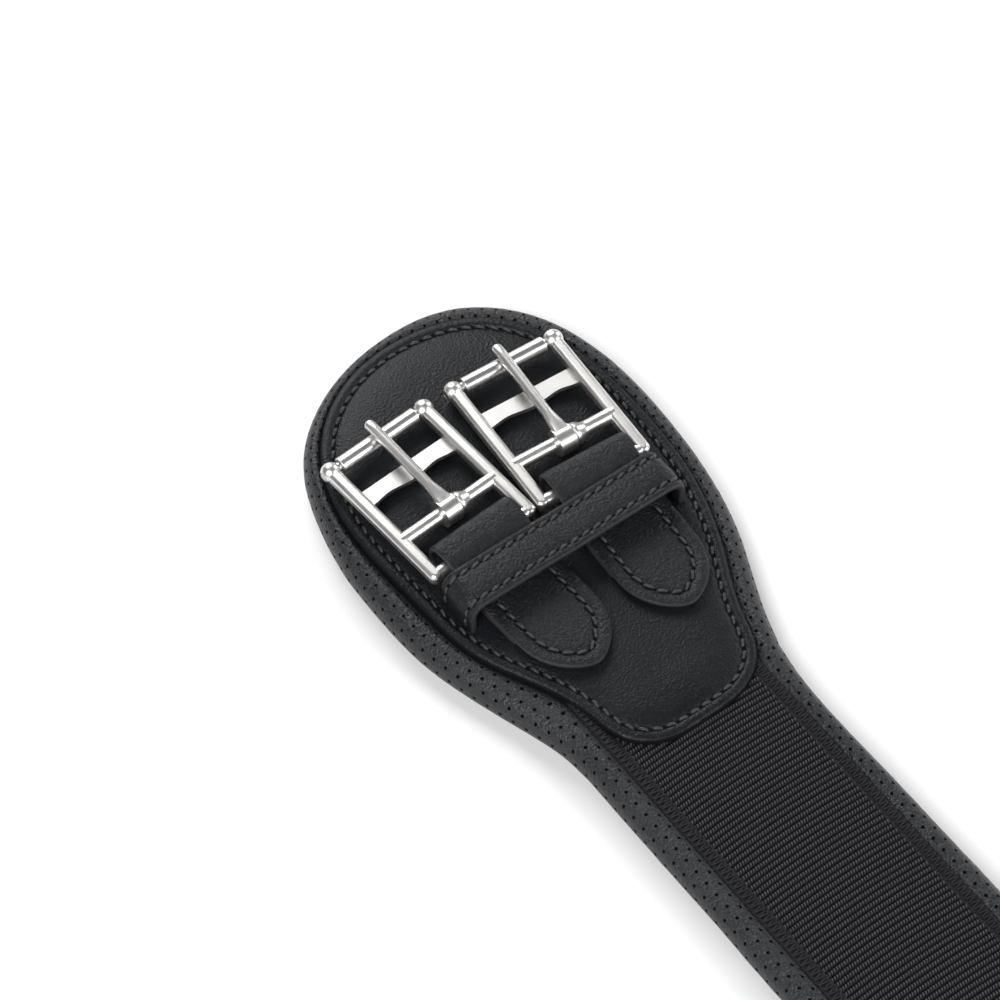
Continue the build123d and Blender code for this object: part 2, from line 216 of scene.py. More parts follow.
# ---------------------------------------------------------------- materials
class Nodes:
    """Adds and joins a material's nodes."""

    def __init__(self, name):
        self.material = bpy.data.materials.new(name)
        self.material.use_nodes = True
        self.tree = self.material.node_tree
        self.shader = self.tree.nodes["Principled BSDF"]
        self.place = self.add("ShaderNodeTexCoord").outputs["Object"]

    def add(self, kind, values=(), **settings):
        node = self.tree.nodes.new(kind)
        for key, value in settings.items():
            setattr(node, key, value)
        for key, value in dict(values).items():
            if isinstance(value, bpy.types.NodeSocket):
                self.tree.links.new(value, node.inputs[key])
            else:
                node.inputs[key].default_value = value
        return node

    def set(self, **values):
        for key, value in values.items():
            socket = self.shader.inputs[key.replace("_", " ")]
            if isinstance(value, bpy.types.NodeSocket):
                self.tree.links.new(value, socket)
            else:
                socket.default_value = value

    def stretched(self, scale):
        values = {"Vector": self.place, "Scale": scale}
        return self.add("ShaderNodeMapping", values).outputs["Vector"]

    def noise(self, scale, detail=3.0, rough=0.6, place=None):
        values = {"Vector": place or self.place, "Scale": scale, "Detail": detail, "Roughness": rough}
        return self.add("ShaderNodeTexNoise", values).outputs["Fac"]

    def cells(self, scale):
        values = {"Vector": self.place, "Scale": scale}
        return self.add("ShaderNodeTexVoronoi", values, feature="SMOOTH_F1").outputs["Distance"]

    def ramp(self, value, low, high, start=0.0, end=1.0):
        values = {"Value": value, "From Min": start, "From Max": end, "To Min": low, "To Max": high}
        return self.add("ShaderNodeMapRange", values).outputs["Result"]

    def sum(self, one, other, share):
        scaled = self.add("ShaderNodeMath", {0: other, 1: share}, operation="MULTIPLY").outputs[0]
        return self.add("ShaderNodeMath", {0: one, 1: scaled}, operation="ADD").outputs[0]

    def between(self, value, dark, light):
        mix = self.add("ShaderNodeMix", {0: value}, data_type="RGBA")
        mix.inputs[6].default_value = (*dark, 1)
        mix.inputs[7].default_value = (*light, 1)
        return mix.outputs[2]

    def bump(self, height, distance, strength=1.0):
        values = {"Height": height, "Distance": distance / 1000, "Strength": strength}
        self.set(Normal=self.add("ShaderNodeBump", values).outputs["Normal"])


def leather(name, dark, light, rough, grain, depth, crease, shine=0.5):
    """Pebbled leather: small cells of grain, finer pores and long faint creases."""
    nodes = Nodes(name)
    pebbles = nodes.cells(grain)
    pores = nodes.noise(grain * 2.2, 2.0)
    creases = nodes.noise(880.0, 2.5, 0.55, nodes.stretched((1.0, 1.6, 1.0)))
    cloud = nodes.noise(28.0, 3.0)
    height = nodes.sum(nodes.sum(pebbles, pores, 0.45), creases, crease)
    nodes.bump(height, depth)
    nodes.set(Base_Color=nodes.between(nodes.sum(cloud, pores, 0.3), dark, light))
    wear = nodes.sum(cloud, pebbles, 0.5)
    nodes.set(Roughness=nodes.ramp(wear, rough - 0.07, rough + 0.09, 0.3, 1.0))
    nodes.set(Specular_IOR_Level=shine)
    return nodes.material


def fabric(name, dark, light, rough, fibre, depth, sheen):
    """Yarn with fine fibres."""
    nodes = Nodes(name)
    fibres = nodes.noise(fibre, 3.0, 0.7)
    patches = nodes.noise(90.0, 2.0)
    nodes.bump(fibres, depth)
    nodes.set(Base_Color=nodes.between(nodes.sum(fibres, patches, 0.4), dark, light), Roughness=rough)
    nodes.set(Sheen_Weight=sheen, Sheen_Roughness=0.35, Specular_IOR_Level=0.25)
    return nodes.material


def ribbed_yarn(name, rib_pitch, rib_start, yarn_pitch, slant):
    """Webbing yarn that crosses the band in ribs. Its colour carries painted shade and painted highlight:
    dark in the valleys between ribs and yarn turns, lighter on the top of each turn.
    """
    nodes = Nodes(name)
    split = nodes.add("ShaderNodeSeparateXYZ", {"Vector": nodes.place})

    def maths(operation, one, other=0.0):
        return nodes.add("ShaderNodeMath", {0: one, 1: other}, operation=operation).outputs[0]

    along, across = split.outputs["X"], split.outputs["Y"]
    off_middle = maths("MULTIPLY", maths("SUBTRACT", across, WEBBING_MIDDLE / 1000), 2000 / WEBBING_WIDTH)
    turned = maths("TANH", maths("MULTIPLY", along, 1000 / BOW_START))
    bent = maths("MULTIPLY", turned, RIB_BOW / 1000)
    bow = maths("MULTIPLY", bent, maths("MULTIPLY", off_middle, off_middle))
    straight = maths("ADD", along, bow)
    rib = maths("MULTIPLY", maths("SUBTRACT", straight, rib_start / 1000), 1000 / rib_pitch)
    yarn = maths("ADD", maths("MULTIPLY", across, 1000 / yarn_pitch), maths("MULTIPLY", rib, slant))
    over_rib = maths("ABSOLUTE", maths("SINE", maths("MULTIPLY", rib, math.pi)))
    over_yarn = maths("ABSOLUTE", maths("SINE", maths("MULTIPLY", yarn, math.pi)))
    fibres = nodes.noise(5200.0, 3.0, 0.7)
    height = maths("MULTIPLY", over_rib, over_yarn)
    nodes.bump(nodes.sum(height, fibres, 0.25), 0.35)
    # painted shade in the valleys and painted highlight on the yarn tops, taken from the bump's height
    painted_light_and_shade = maths("MULTIPLY", maths("POWER", height, 2.0), nodes.ramp(nodes.noise(700.0), 0.5, 1.2))
    nodes.set(Base_Color=nodes.between(painted_light_and_shade, (0.001, 0.001, 0.002), (0.085, 0.085, 0.095)))
    nodes.set(Roughness=0.6, Specular_IOR_Level=0.12)
    return nodes.material


def steel(name, tint, rough, lines, polish_axis):
    """Satin-polished steel with fine lines along one direction and slight patches of dullness."""
    nodes = Nodes(name)
    scale = [7000.0, 7000.0, 7000.0]
    scale[polish_axis] = 250.0
    streaks = nodes.noise(1.0, 2.0, 0.5, nodes.stretched(scale))
    dull = nodes.noise(120.0, 3.0, 0.6)
    nodes.bump(streaks, 0.006, lines)
    nodes.set(Metallic=1.0, Base_Color=nodes.between(dull, tint, [min(1, c * 1.1) for c in tint]))
    nodes.set(Roughness=nodes.ramp(nodes.sum(dull, streaks, 0.4), rough - 0.04, rough + 0.07, 0.3, 1.1))
    return nodes.material


def painted_shade_material():
    # near-black painted shade for the insides of holes, where no light reaches
    nodes = Nodes("painted_hole_shade")
    nodes.set(Base_Color=nodes.between(nodes.noise(300.0), (0.001, 0.001, 0.001), (0.004, 0.004, 0.004)))
    nodes.set(Roughness=0.9, Specular_IOR_Level=0.1)
    return nodes.material


pad_leather = leather(
    "perforated_leather", (0.003, 0.004, 0.005), (0.013, 0.014, 0.017), 0.38, 1500.0, 0.24, 0.8, 0.42)
lining_leather = leather(
    "lining_leather", (0.008, 0.008, 0.009), (0.014, 0.014, 0.016), 0.6, 1300.0, 0.12, 0.5)
smooth_leather = leather(
    "smooth_leather", (0.002, 0.003, 0.004), (0.008, 0.009, 0.011), 0.36, 1700.0, 0.15, 0.4, 0.20)
strap_leather = leather(
    "strap_leather", (0.002, 0.003, 0.004), (0.009, 0.010, 0.012), 0.37, 1500.0, 0.24, 0.8, 0.25)
edge_leather = leather(
    "edge_leather", (0.010, 0.010, 0.011), (0.022, 0.022, 0.024), 0.6, 2600.0, 0.06, 0.2)
thread_yarn = fabric(
    "thread_yarn", (0.008, 0.008, 0.009), (0.046, 0.046, 0.052), 0.36, 4200.0, 0.05, 0.05)
binding_yarn = fabric(
    "binding_yarn", (0.001, 0.001, 0.002), (0.011, 0.011, 0.013), 0.55, 4200.0, 0.06, 0.0)
painted_hole_shade = painted_shade_material()


# ---------------------------------------------------------------- thread
THREAD_SIDES = 7
AWL_HOLE_SIDES = 8
AWL_HOLE_BEHIND = 0.35            # from its middle to its stitch's start
PATCH_AWL_HOLE = (1.35, 1.2, 0.06)
STRAP_AWL_HOLE = (1.1, 1.0, 0.02)


def stitch_mesh(name, runs, width, height, body, replaced=(), lean=0.0, ends_sunk=0.45,
                yarn=None, hole=None):
    """One mesh of separate stitches. A run is a stitch's start, end and up direction. A hole, the one that
    each thread comes up through, is a flat disc of painted shade that stands in for the dark inside of the
    awl hole; it is given as its length, its width and its height over the line."""
    rings = (0.0, 0.16, 0.5, 0.84, 1.0)
    fullness = (0.35, 0.85, 1.0, 0.85, 0.35)
    lift = (-ends_sunk, 0.55, 1.0, 0.55, -ends_sunk)
    points, faces, marks = [], [], []
    for start, end, up in runs:
        start, end, up = (np.asarray(v, float) for v in (start, end, up))
        forward = end - start
        forward /= np.linalg.norm(forward)
        across = np.cross(up, forward)
        across /= np.linalg.norm(across)
        first = len(points)
        for share, size, rise in zip(rings, fullness, lift):
            middle = start + (end - start) * share + across * lean * (share - 0.5)
            middle = middle + up * (rise * height * 0.5)
            for k in range(THREAD_SIDES):
                turn = 2 * math.pi * k / THREAD_SIDES
                points.append(middle + across * (math.cos(turn) * width / 2 * size)
                              + up * (math.sin(turn) * height / 2 * size))
        faces += grid_faces(len(rings), THREAD_SIDES, start=first)
        faces.append(tuple(first + k for k in reversed(range(THREAD_SIDES))))
        last = first + (len(rings) - 1) * THREAD_SIDES
        faces.append(tuple(last + k for k in range(THREAD_SIDES)))
        marks += [0] * (len(faces) - len(marks))
        # each awl hole is a flat disc in the painted hole shade, set just over the leather
        if hole:
            long, wide, raised = hole
            middle = start - forward * AWL_HOLE_BEHIND + up * raised
            faces.append(tuple(len(points) + k for k in range(AWL_HOLE_SIDES)))
            marks.append(1)
            for k in range(AWL_HOLE_SIDES):
                turn = 2 * math.pi * k / AWL_HOLE_SIDES
                points.append(middle + forward * (math.cos(turn) * long / 2)
                              - across * (math.sin(turn) * wide / 2))
    return piece(name, points, faces, [yarn or thread_yarn, painted_hole_shade], body, replaced, marks)


def stitches_along(points, ups, gap=0.5, closed=False):
    """Runs for stitch_mesh along a line of points, spaced as near to the stitches' pitch as divides it."""
    points = np.asarray(points, float)
    ups = np.asarray(ups, float)
    if closed:
        points = np.vstack([points, points[:1]])
        ups = np.vstack([ups, ups[:1]])
    along = np.concatenate([[0], np.cumsum(np.linalg.norm(np.diff(points, axis=0), axis=1))])
    count = max(1, round(along[-1] / STITCH))
    step = along[-1] / count
    runs = []
    for i in range(count):
        at = np.array([i * step + gap / 2, (i + 1) * step - gap / 2])
        ends = np.stack([np.interp(at, along, points[:, k]) for k in range(3)], -1)
        up = np.array([np.interp(at.mean(), along, ups[:, k]) for k in range(3)])
        runs.append((ends[0], ends[1], up / np.linalg.norm(up)))
    return runs


# ---------------------------------------------------------------- padding
CLOTH_SCALE = 10.0                # the cloth is worked out this much larger, where its solver is steady
CLOTH_FRAMES = 20


def swelled(name, rows, held, pressure, cap):
    """Rows of a closed lattice after pressure has swelled it as cloth between its held rows. No point moves
    further than cap. The cloth itself is removed again."""
    count = len(rows[0])
    start = np.vstack(rows)
    mesh = bpy.data.meshes.new(name)
    mesh.from_pydata((start * CLOTH_SCALE / 1000).tolist(), [], grid_faces(len(rows), count))
    cloth = bpy.data.objects.new(name, mesh)
    bpy.context.scene.collection.objects.link(cloth)
    pins = cloth.vertex_groups.new(name="held")
    for row in held:
        pins.add(list(range(row * count, (row + 1) * count)), 1.0, "REPLACE")
    modifier = cloth.modifiers.new("Cloth", "CLOTH")
    settings = modifier.settings
    settings.quality = 5
    settings.tension_stiffness = settings.compression_stiffness = settings.shear_stiffness = 12
    settings.bending_stiffness = 0.6
    settings.use_pressure = True
    settings.uniform_pressure_force = pressure
    settings.vertex_group_mass = "held"
    settings.effector_weights.gravity = 0
    modifier.collision_settings.use_collision = False
    modifier.point_cache.frame_start = 1
    modifier.point_cache.frame_end = CLOTH_FRAMES
    for moment in range(1, CLOTH_FRAMES + 1):
        bpy.context.scene.frame_set(moment)
    result = cloth.evaluated_get(bpy.context.evaluated_depsgraph_get())
    end = np.zeros(len(start) * 3)
    result.data.vertices.foreach_get("co", end)
    move = end.reshape(-1, 3) * 1000 / CLOTH_SCALE - start
    bpy.data.objects.remove(cloth)
    bpy.data.meshes.remove(mesh)
    bpy.context.scene.frame_set(1)
    far = np.linalg.norm(move, axis=1, keepdims=True)
    move *= cap * np.tanh(far / cap) / np.maximum(far, 1e-9)
    most, average = round(float(far.max()), 2), round(float(far.mean()), 2)
    print(name, "moved by up to", most, "mm, on average", average)
    return list((start + move).reshape(len(rows), count, 3))


# ---------------------------------------------------------------- pad
ROLL_ROWS = 7                     # rows of perforations, from the underside to the groove by the patch
HOLE_PITCH = 4.0
HOLE_RADIUS = 0.5
HOLE_SIDES = 8
ROW_SIZE = 2.9                    # about the distance over the leather from one row to the next
PAD_PRESSURE = 8.0
PAD_MOST_SWELL = 0.5


def pad_knots():
    left = [(-(HALF_SIZE + out), across) for out, across in PAD_HEAD]
    right = [(HALF_SIZE + out, across) for out, across in reversed(PAD_HEAD)]
    front = [(station, NECK_FRONT) for station in NECK_STATIONS]
    rear = [(station, NECK_REAR) for station in reversed(NECK_STATIONS)]
    return left + front + right + rear


def well_walls():
    """Line segments round what lies on the pad: the two end patches and the webbing."""
    patch = Loop(PATCH_EDGE).points[::8]
    walls = []
    for end in ENDS.values():
        outline = np.stack([end * (HALF_SIZE + patch[:, 0]), patch[:, 1]], 1)
        walls.append((outline, np.roll(outline, -1, 0)))
    for edge in (-1, 1):
        y = WEBBING_MIDDLE + edge * WEBBING_WIDTH / 2
        walls.append((np.array([[-WEBBING_END, y]]), np.array([[WEBBING_END, y]])))
    return np.vstack([w[0] for w in walls]), np.vstack([w[1] for w in walls])


def margins(loop, at):
    """How far in from the pad's edge the patch or the webbing starts."""
    starts, ends = well_walls()
    along = ends - starts
    found = []
    for origin, normal in zip(loop.point(at), loop.inward(at)):
        cross = normal[0] * along[:, 1] - normal[1] * along[:, 0]
        cross = np.where(np.abs(cross) < 1e-9, 1e-9, cross)
        gap = starts - origin
        reach = (gap[:, 0] * along[:, 1] - gap[:, 1] * along[:, 0]) / cross
        share = (gap[:, 0] * normal[1] - gap[:, 1] * normal[0]) / cross
        hits = reach[(reach > 0) & (share >= 0) & (share <= 1)]
        found.append(hits.min())
    found = np.array(found)
    window = 9                    # samples over which a sudden change of margin is smoothed
    padded = np.concatenate([found[-window:], found, found[:window]])
    smooth = np.convolve(padded, np.ones(window) / window, "same")[window:-window]
    return np.minimum(smooth, found + 0.6)


class Pad:
    """The rolled leather edge. A place on it is at, along the edge, and row, 0 underneath to ROLL_ROWS."""

    flat_end, side_row, crest_row = 0.5, 3.4, 6.1   # where the roll leaves the floor, is steepest, is highest
    side_height = 5.3
    centre_inset, centre_height = EDGE_RADIUS * 0.8, 5.4

    def __init__(self):
        self.loop = Loop(pad_knots())
        self.sample = np.linspace(0, self.loop.length, 1500, endpoint=False)
        self.margin = margins(self.loop, self.sample)
        self.swell = waves(3, 25, 90, self.loop.length)
        self.folds = waves(5, 8, 16, self.loop.length, 22)
        self.patchy = waves(7, 18, 60, self.loop.length)
        self.moves = None

    def simulate(self, columns):
        """Keeps how far the leather moves when it is swelled as cloth, on a lattice of half rows."""
        at = np.arange(columns) * self.loop.length / columns
        rows = [self.surface(at, np.full(columns, i / 2)) for i in range(2 * ROLL_ROWS + 1)]
        after = swelled("pad_cloth", rows, (0, len(rows) - 1), PAD_PRESSURE, PAD_MOST_SWELL)
        self.moves = np.array(after) - np.array(rows)

    def moved(self, at, row):
        """The simulated movement at places between the lattice's points."""
        if self.moves is None:
            return 0.0
        last, columns = self.moves.shape[0] - 1, self.moves.shape[1]
        across = np.clip(np.asarray(row) * 2, 0, last - 1e-6)
        along = (np.asarray(at) / self.loop.length * columns) % columns
        r, c = across.astype(int), along.astype(int) % columns
        a, b = (across - r)[..., None], (along - along.astype(int))[..., None]
        d = (c + 1) % columns
        low = self.moves[r, c] * (1 - b) + self.moves[r, d] * b
        high = self.moves[r + 1, c] * (1 - b) + self.moves[r + 1, d] * b
        return low * (1 - a) + high * a

    def surface(self, at, row, sunk=0.0):
        """Points on the leather, or sunk into it. The roll is round below, falls to the groove on its inner
        flank, and goes on a little under the patch."""
        at = np.asarray(at, float)
        row = np.asarray(row, float)
        margin = np.interp(at, self.sample, self.margin, period=self.loop.length)
        crest = np.clip(0.68 * margin, 2.9, 5.0)
        low = np.clip((row - self.flat_end) / (self.side_row - self.flat_end), 0, 1) * math.pi / 2
        high = np.clip((row - self.side_row) / (self.crest_row - self.side_row), 0, 1) * math.pi / 2
        flank = np.clip((row - self.crest_row) / (ROLL_ROWS - self.crest_row), 0, 1)
        under = np.maximum(self.flat_end - row, 0) * 2.9
        hidden = np.maximum(row - ROLL_ROWS, 0)
        above = row > self.side_row
        side = self.side_height
        inset = np.where(above, crest * (1 - np.cos(high)) + (margin - crest) * flank + hidden * 3.0,
                         EDGE_RADIUS * (1 - np.sin(low)) + under)
        height = np.where(above, side + (PAD_TOP - side) * np.sin(high) - 1.9 * flank ** 1.6 - hidden * 1.5,
                          side * (1 - np.cos(low)) + np.maximum(under - 2.4, 0) * 0.5)
        bulge = np.sin(np.clip((row - self.flat_end) / (ROLL_ROWS - self.flat_end), 0, 1) * math.pi)
        fold = self.folds(at + 1.3 * (row - 3)) * np.clip(self.patchy(at) + 0.25, 0, 1)
        grow = (0.16 * self.swell(at) + 0.07 * fold) * bulge - sunk
        off_inset, off_height = inset - self.centre_inset, height - self.centre_height
        reach = np.hypot(off_inset, off_height)
        inset = inset + off_inset / reach * grow
        height = np.maximum(height + off_height / reach * grow, 0.02)
        flat = self.loop.point(at) + self.loop.inward(at) * inset[..., None]
        return np.concatenate([flat, height[..., None]], -1) + self.moved(at, row)


def make_pad():
    """The perforated cover: each cell of the roll has a real round hole in its middle."""
    pad = Pad()
    cells = round(pad.loop.length / HOLE_PITCH)
    pitch = pad.loop.length / cells
    columns = 2 * cells
    pad.simulate(columns)
    points, faces, marks = [], [], []

    def lattice_row(row):
        points.append(pad.surface(np.arange(columns) * pitch / 2, np.full(columns, float(row))))

    strip = [-1.0, -0.4]
    for row in strip:
        lattice_row(row)
    half_rows = 2 * ROLL_ROWS + 1
    for i in range(half_rows):
        lattice_row(i / 2)
    for row in (ROLL_ROWS + 0.35, ROLL_ROWS + 0.8, ROLL_ROWS + 1.4):
        lattice_row(row)
    first = len(strip)
    faces += grid_faces(first + 1, columns)
    top = first + half_rows - 1
    faces += grid_faces(4, columns, start=top * columns)
    marks += [0] * len(faces)

    # from the lower left corner, anticlockwise
    turns = [2 * math.pi * (k + 5) / HOLE_SIDES for k in range(HOLE_SIDES)]
    count = (top + 4) * columns
    for row in range(ROLL_ROWS):
        shift = row % 2
        middles = (2 * np.arange(cells) + 1 + shift) * pitch / 2
        rings = []
        for radius, sunk in ((HOLE_RADIUS + 0.18, 0.0), (HOLE_RADIUS * 0.95, 0.06), (HOLE_RADIUS * 0.8, 0.7)):
            at = np.stack([middles + radius * math.cos(turn) for turn in turns], 1)
            rises = [row + 0.5 + radius * math.sin(turn) / ROW_SIZE for turn in turns]
            up = np.stack([np.full(cells, rise) for rise in rises], 1)
            rings.append(pad.surface(at, up, sunk).reshape(-1, 3))
        base = [count + k * cells * HOLE_SIDES for k in range(3)]
        count += 3 * cells * HOLE_SIDES
        points += rings
        low, mid, high = ((first + 2 * row + k) * columns for k in range(3))
        for c in range(cells):
            a = (2 * c + shift) % columns
            b = (a + 1) % columns
            d = (a + 2) % columns
            rim = [low + a, low + b, low + d, mid + d, high + d, high + b, high + a, mid + a]
            outer, inner, floor = (start + HOLE_SIDES * c for start in base)
            for k in range(HOLE_SIDES):
                n = (k + 1) % HOLE_SIDES
                faces.append((rim[k], rim[n], outer + n, outer + k))
                faces.append((outer + k, outer + n, inner + n, inner + k))
                faces.append((inner + k, inner + n, floor + n, floor + k))
            faces.append(tuple(floor + k for k in range(HOLE_SIDES)))
            # the deeper part of each hole's wall and its floor take the painted hole shade
            marks += [0, 0, 1] * HOLE_SIDES + [1]
    made = piece("pad_roll", np.vstack(points), faces, [pad_leather, painted_hole_shade], "girth",
                 ("pad_cover", "foam_core"), marks)
    return pad


def filled_outline(edge, spine, rings, shares, height):
    """Points of a lattice, row by row, from an outline in to a spine. Rings are (inset, height) at the edge,
    and height gives the height further in, from the distance to the edge."""
    points, normals = edge
    rows = [np.concatenate([points + normals * inset, np.full((len(points), 1), float(z))], 1)
            for inset, z in rings]
    last = rows[-1][:, :2]
    inset = rings[-1][0]
    reach = np.linalg.norm(spine - last, axis=1)
    for share in shares:
        flat = last + (spine - last) * share
        rows.append(np.concatenate([flat, height(inset + reach * share)[:, None]], 1))
    return rows


LINING_COLUMNS = 720
LINING_SPINE_END = HALF_SIZE + 12.0
LINING_RINGS = [
    (0.0, 1.1), (0.0, 0.5), (0.25, 0.12), (0.8, 0.02), (1.8, 0.05), (2.3, 0.3), (2.6, 0.42), (2.9, 0.3),
    (3.4, 0.05),
]
LINING_STITCH_ROW = 6
LINING_SHARES = (0.12, 0.3, 0.5, 0.7, 0.88, 1.0)
LINING_HEIGHT = 0.02              # over the floor, between the stitched grooves


def make_lining(pad):
    """The lining's underside, sewn to the cover a little inside its edge."""
    at = np.linspace(0, pad.loop.length, LINING_COLUMNS, endpoint=False)
    points = pad.loop.point(at)
    normals = pad.loop.inward(at)
    in_head = np.clip((np.abs(points[:, 0]) - 150) / 90, 0, 1)
    spine = np.stack([np.clip(points[:, 0], -LINING_SPINE_END, LINING_SPINE_END),
                      NECK_MIDDLE * (1 - in_head)], 1)
    rings = [(LINING_INSET + inset, height) for inset, height in LINING_RINGS]
    rows = filled_outline((points, normals), spine, rings, LINING_SHARES,
                          lambda distance: np.full(len(points), LINING_HEIGHT))
    faces = [tuple(reversed(face)) for face in grid_faces(len(rows), LINING_COLUMNS)]
    made = piece("lining_panel", np.vstack(rows), faces, [lining_leather], "girth",
                 ("pad_lining",))
    merge(made)
    line = rows[LINING_STITCH_ROW].copy()
    line[:, 2] = 0.34
    down = np.tile([0.0, 0.0, -1.0], (LINING_COLUMNS, 1))
    stitch_mesh("lining_thread", stitches_along(line, down, closed=True), 0.7, 0.5, "girth")


# ---------------------------------------------------------------- webbing
PLAIN = 3                         # the phase of columns outside the ribs; 0 to 2 go over one rib
YARN_SLANT = 0.55


def make_webbing():
    """Ribs across the band, each a row of slanted yarn bumps, between two bound edges."""
    ribs = round(2 * FINE_HALF / RIB_PITCH)
    pitch = 2 * FINE_HALF / ribs
    along = [-WEBBING_END, -250.0]
    phase = [PLAIN, PLAIN]
    for i in range(ribs):
        for k, share in enumerate((0.0, 0.3, 0.7)):
            along.append(-FINE_HALF + (i + share) * pitch)
            phase.append(k)
    along += [FINE_HALF, 250.0, WEBBING_END]
    phase += [0, PLAIN, PLAIN]
    along = np.array(along)
    phase = np.array(phase)
    half = WEBBING_WIDTH / 2
    yarns = round(2 * RIBBED_HALF / YARN_PITCH)
    ribbed = np.linspace(-RIBBED_HALF, RIBBED_HALF, 2 * yarns + 1)
    border = [half, half, half - 0.2, half - 0.7, half - 1.5, half - 2.4, half - 3.2]
    across = np.concatenate([[-y for y in border], ribbed, border[::-1]])
    edge_drop = [1.9, 0.9, 0.25, 0.0, 0.1, 0.0, 0.2]
    drop = np.concatenate([edge_drop, np.zeros(len(ribbed)), edge_drop[::-1]])
    rows = []
    for j, (y, fall) in enumerate(zip(across, drop)):
        x = along.copy()
        z = np.full(len(along), WEBBING_TOP - fall)
        if abs(y) <= RIBBED_HALF:
            odd = (j % 2) == 1
            z = z - np.select([phase == 0, (phase == 1) == odd], [0.85, 0.0], 0.34)
            x = x + np.where(phase == PLAIN, 0, 0.14 if odd else -0.14)
        else:
            z = z - np.where(fall < 0.5, 0.12 * (1 + np.sin(x * 2.9 + j * 1.7)), 0)
        x = x - np.where(phase == PLAIN, 0, np.tanh(x / BOW_START) * RIB_BOW * (y / half) ** 2)
        rows.append(np.stack([x, np.full(len(along), WEBBING_MIDDLE + y), z], 1))
    faces = grid_faces(len(rows), len(along), wrap=False)
    yarn = ribbed_yarn("webbing_yarn", pitch, -FINE_HALF, YARN_PITCH, YARN_SLANT)
    marks = []
    for j in range(len(rows) - 1):
        in_ribs = len(border) <= j < len(rows) - len(border) - 1
        marks += [0 if in_ribs else 1] * (len(along) - 1)
    piece("webbing_band", np.vstack(rows), faces, [yarn, binding_yarn], "girth", ("webbing",),
          marks)
    runs = []
    for edge in (-1, 1):
        for i in range(ribs):
            x = -FINE_HALF + (i + 0.5) * 2 * FINE_HALF / ribs
            outer = (x, WEBBING_MIDDLE + edge * (half - 0.15), WEBBING_TOP - 0.1)
            for lean in (-0.75, 0.6):
                inner = (x + lean, WEBBING_MIDDLE + edge * (half - 3.3), WEBBING_TOP - 0.15)
                runs.append((outer, inner, (0, 0, 1)))
    stitch_mesh("webbing_binding", runs, 0.6, 0.62, "girth", ends_sunk=0.2, yarn=binding_yarn)


# ---------------------------------------------------------------- end patches
PATCH_STITCH_INSET = 3.3
PATCH_RINGS = [
    (0.2, 7.7), (0.0, 8.9), (-0.03, 10.0), (0.08, 10.9), (0.35, 11.28), (0.9, 11.44), (1.8, 11.5),
    (2.5, 11.42), (2.95, 11.22), (PATCH_STITCH_INSET, 11.0), (3.65, 11.22), (4.2, 11.46), (5.2, 11.64),
]
PATCH_STITCH_RING = 9
PATCH_SHARES = (0.07, 0.16, 0.27, 0.4, 0.54, 0.7, 0.86, 1.0)
PATCH_SPINE_ENDS = (-66, 18)
PATCH_PRESSURE = 10.0
PATCH_MOST_SWELL = 0.3
HOLE_EVERY = 6                    # columns of the patch's lattice to each stitch


def even_on_inset(loop, inset, pitch, columns_each):
    """Places along a loop, evenly spaced on the line inset from it, with a whole number of pitches."""
    line = loop.points + loop.normals * inset
    steps = np.linalg.norm(np.roll(line, -1, 0) - line, axis=1)
    reached = np.concatenate([[0], np.cumsum(steps)])
    count = round(reached[-1] / pitch) * columns_each
    targets = np.linspace(0, reached[-1], count, endpoint=False)
    return np.interp(targets, reached, np.append(loop.along, loop.length))


def patch_lattice():
    """The right end's patch, row by row, in out, across and height."""
    loop = Loop(PATCH_EDGE)
    at = even_on_inset(loop, PATCH_STITCH_INSET, STITCH, HOLE_EVERY)
    points, normals = loop.point(at), loop.inward(at)
    spine = np.stack([np.clip(points[:, 0], *PATCH_SPINE_ENDS), np.full(len(at), -0.6)], 1)
    rows = filled_outline((points, normals), spine, PATCH_RINGS, PATCH_SHARES,
                          lambda d: 11.68 + 0.34 * (1 - np.exp(-(d - 5.5) / 4)))
    held = (0, 1, 2, PATCH_STITCH_RING, len(rows) - 2)
    rows = swelled("patch_cloth", rows[:-1], held, PATCH_PRESSURE, PATCH_MOST_SWELL) + rows[-1:]
    swell = waves(11, 20, 70, loop.length)(at)
    pucker = np.cos(2 * math.pi * np.arange(len(at)) / HOLE_EVERY)
    for i, row in enumerate(rows):
        inset = PATCH_RINGS[min(i, len(PATCH_RINGS) - 1)][0]
        puffy = math.exp(-((inset - 1.6) / 1.2) ** 2)
        row[:, 2] += 0.12 * swell * puffy
        near = math.exp(-((inset - PATCH_STITCH_INSET) / 0.5) ** 2)
        row[:, 2] -= 0.26 * near * (1 + pucker) * 0.9
        for side in SIDES.values():
            dip = ((row[:, 0] - KEEPER_OUT) / 7.0) ** 4 + ((row[:, 1] - side * KEEPER_FOOT) / 2.6) ** 2
            row[:, 2] -= 0.9 * np.exp(-dip) * (row[:, 2] > 10)
    return rows


def make_patch(name, end, rows):
    faces = facing(end, grid_faces(len(rows), len(rows[0])))
    made = piece(f"patch_{name}", placed(end, np.vstack(rows)), faces, [smooth_leather], "girth",
                 (f"end_patch_{name}",))
    merge(made)
    line = rows[PATCH_STITCH_RING].copy()
    line[:, 2] = 11.0
    up = np.tile([0.0, 0.0, 1.0], (len(line), 1))
    runs = stitches_along(placed(end, line), up, gap=0.8, closed=True)
    stitch_mesh(f"patch_stitches_{name}", runs, 1.0, 0.85, "girth", (f"patch_thread_{name}",),
                lean=end * 0.5, hole=PATCH_AWL_HOLE)


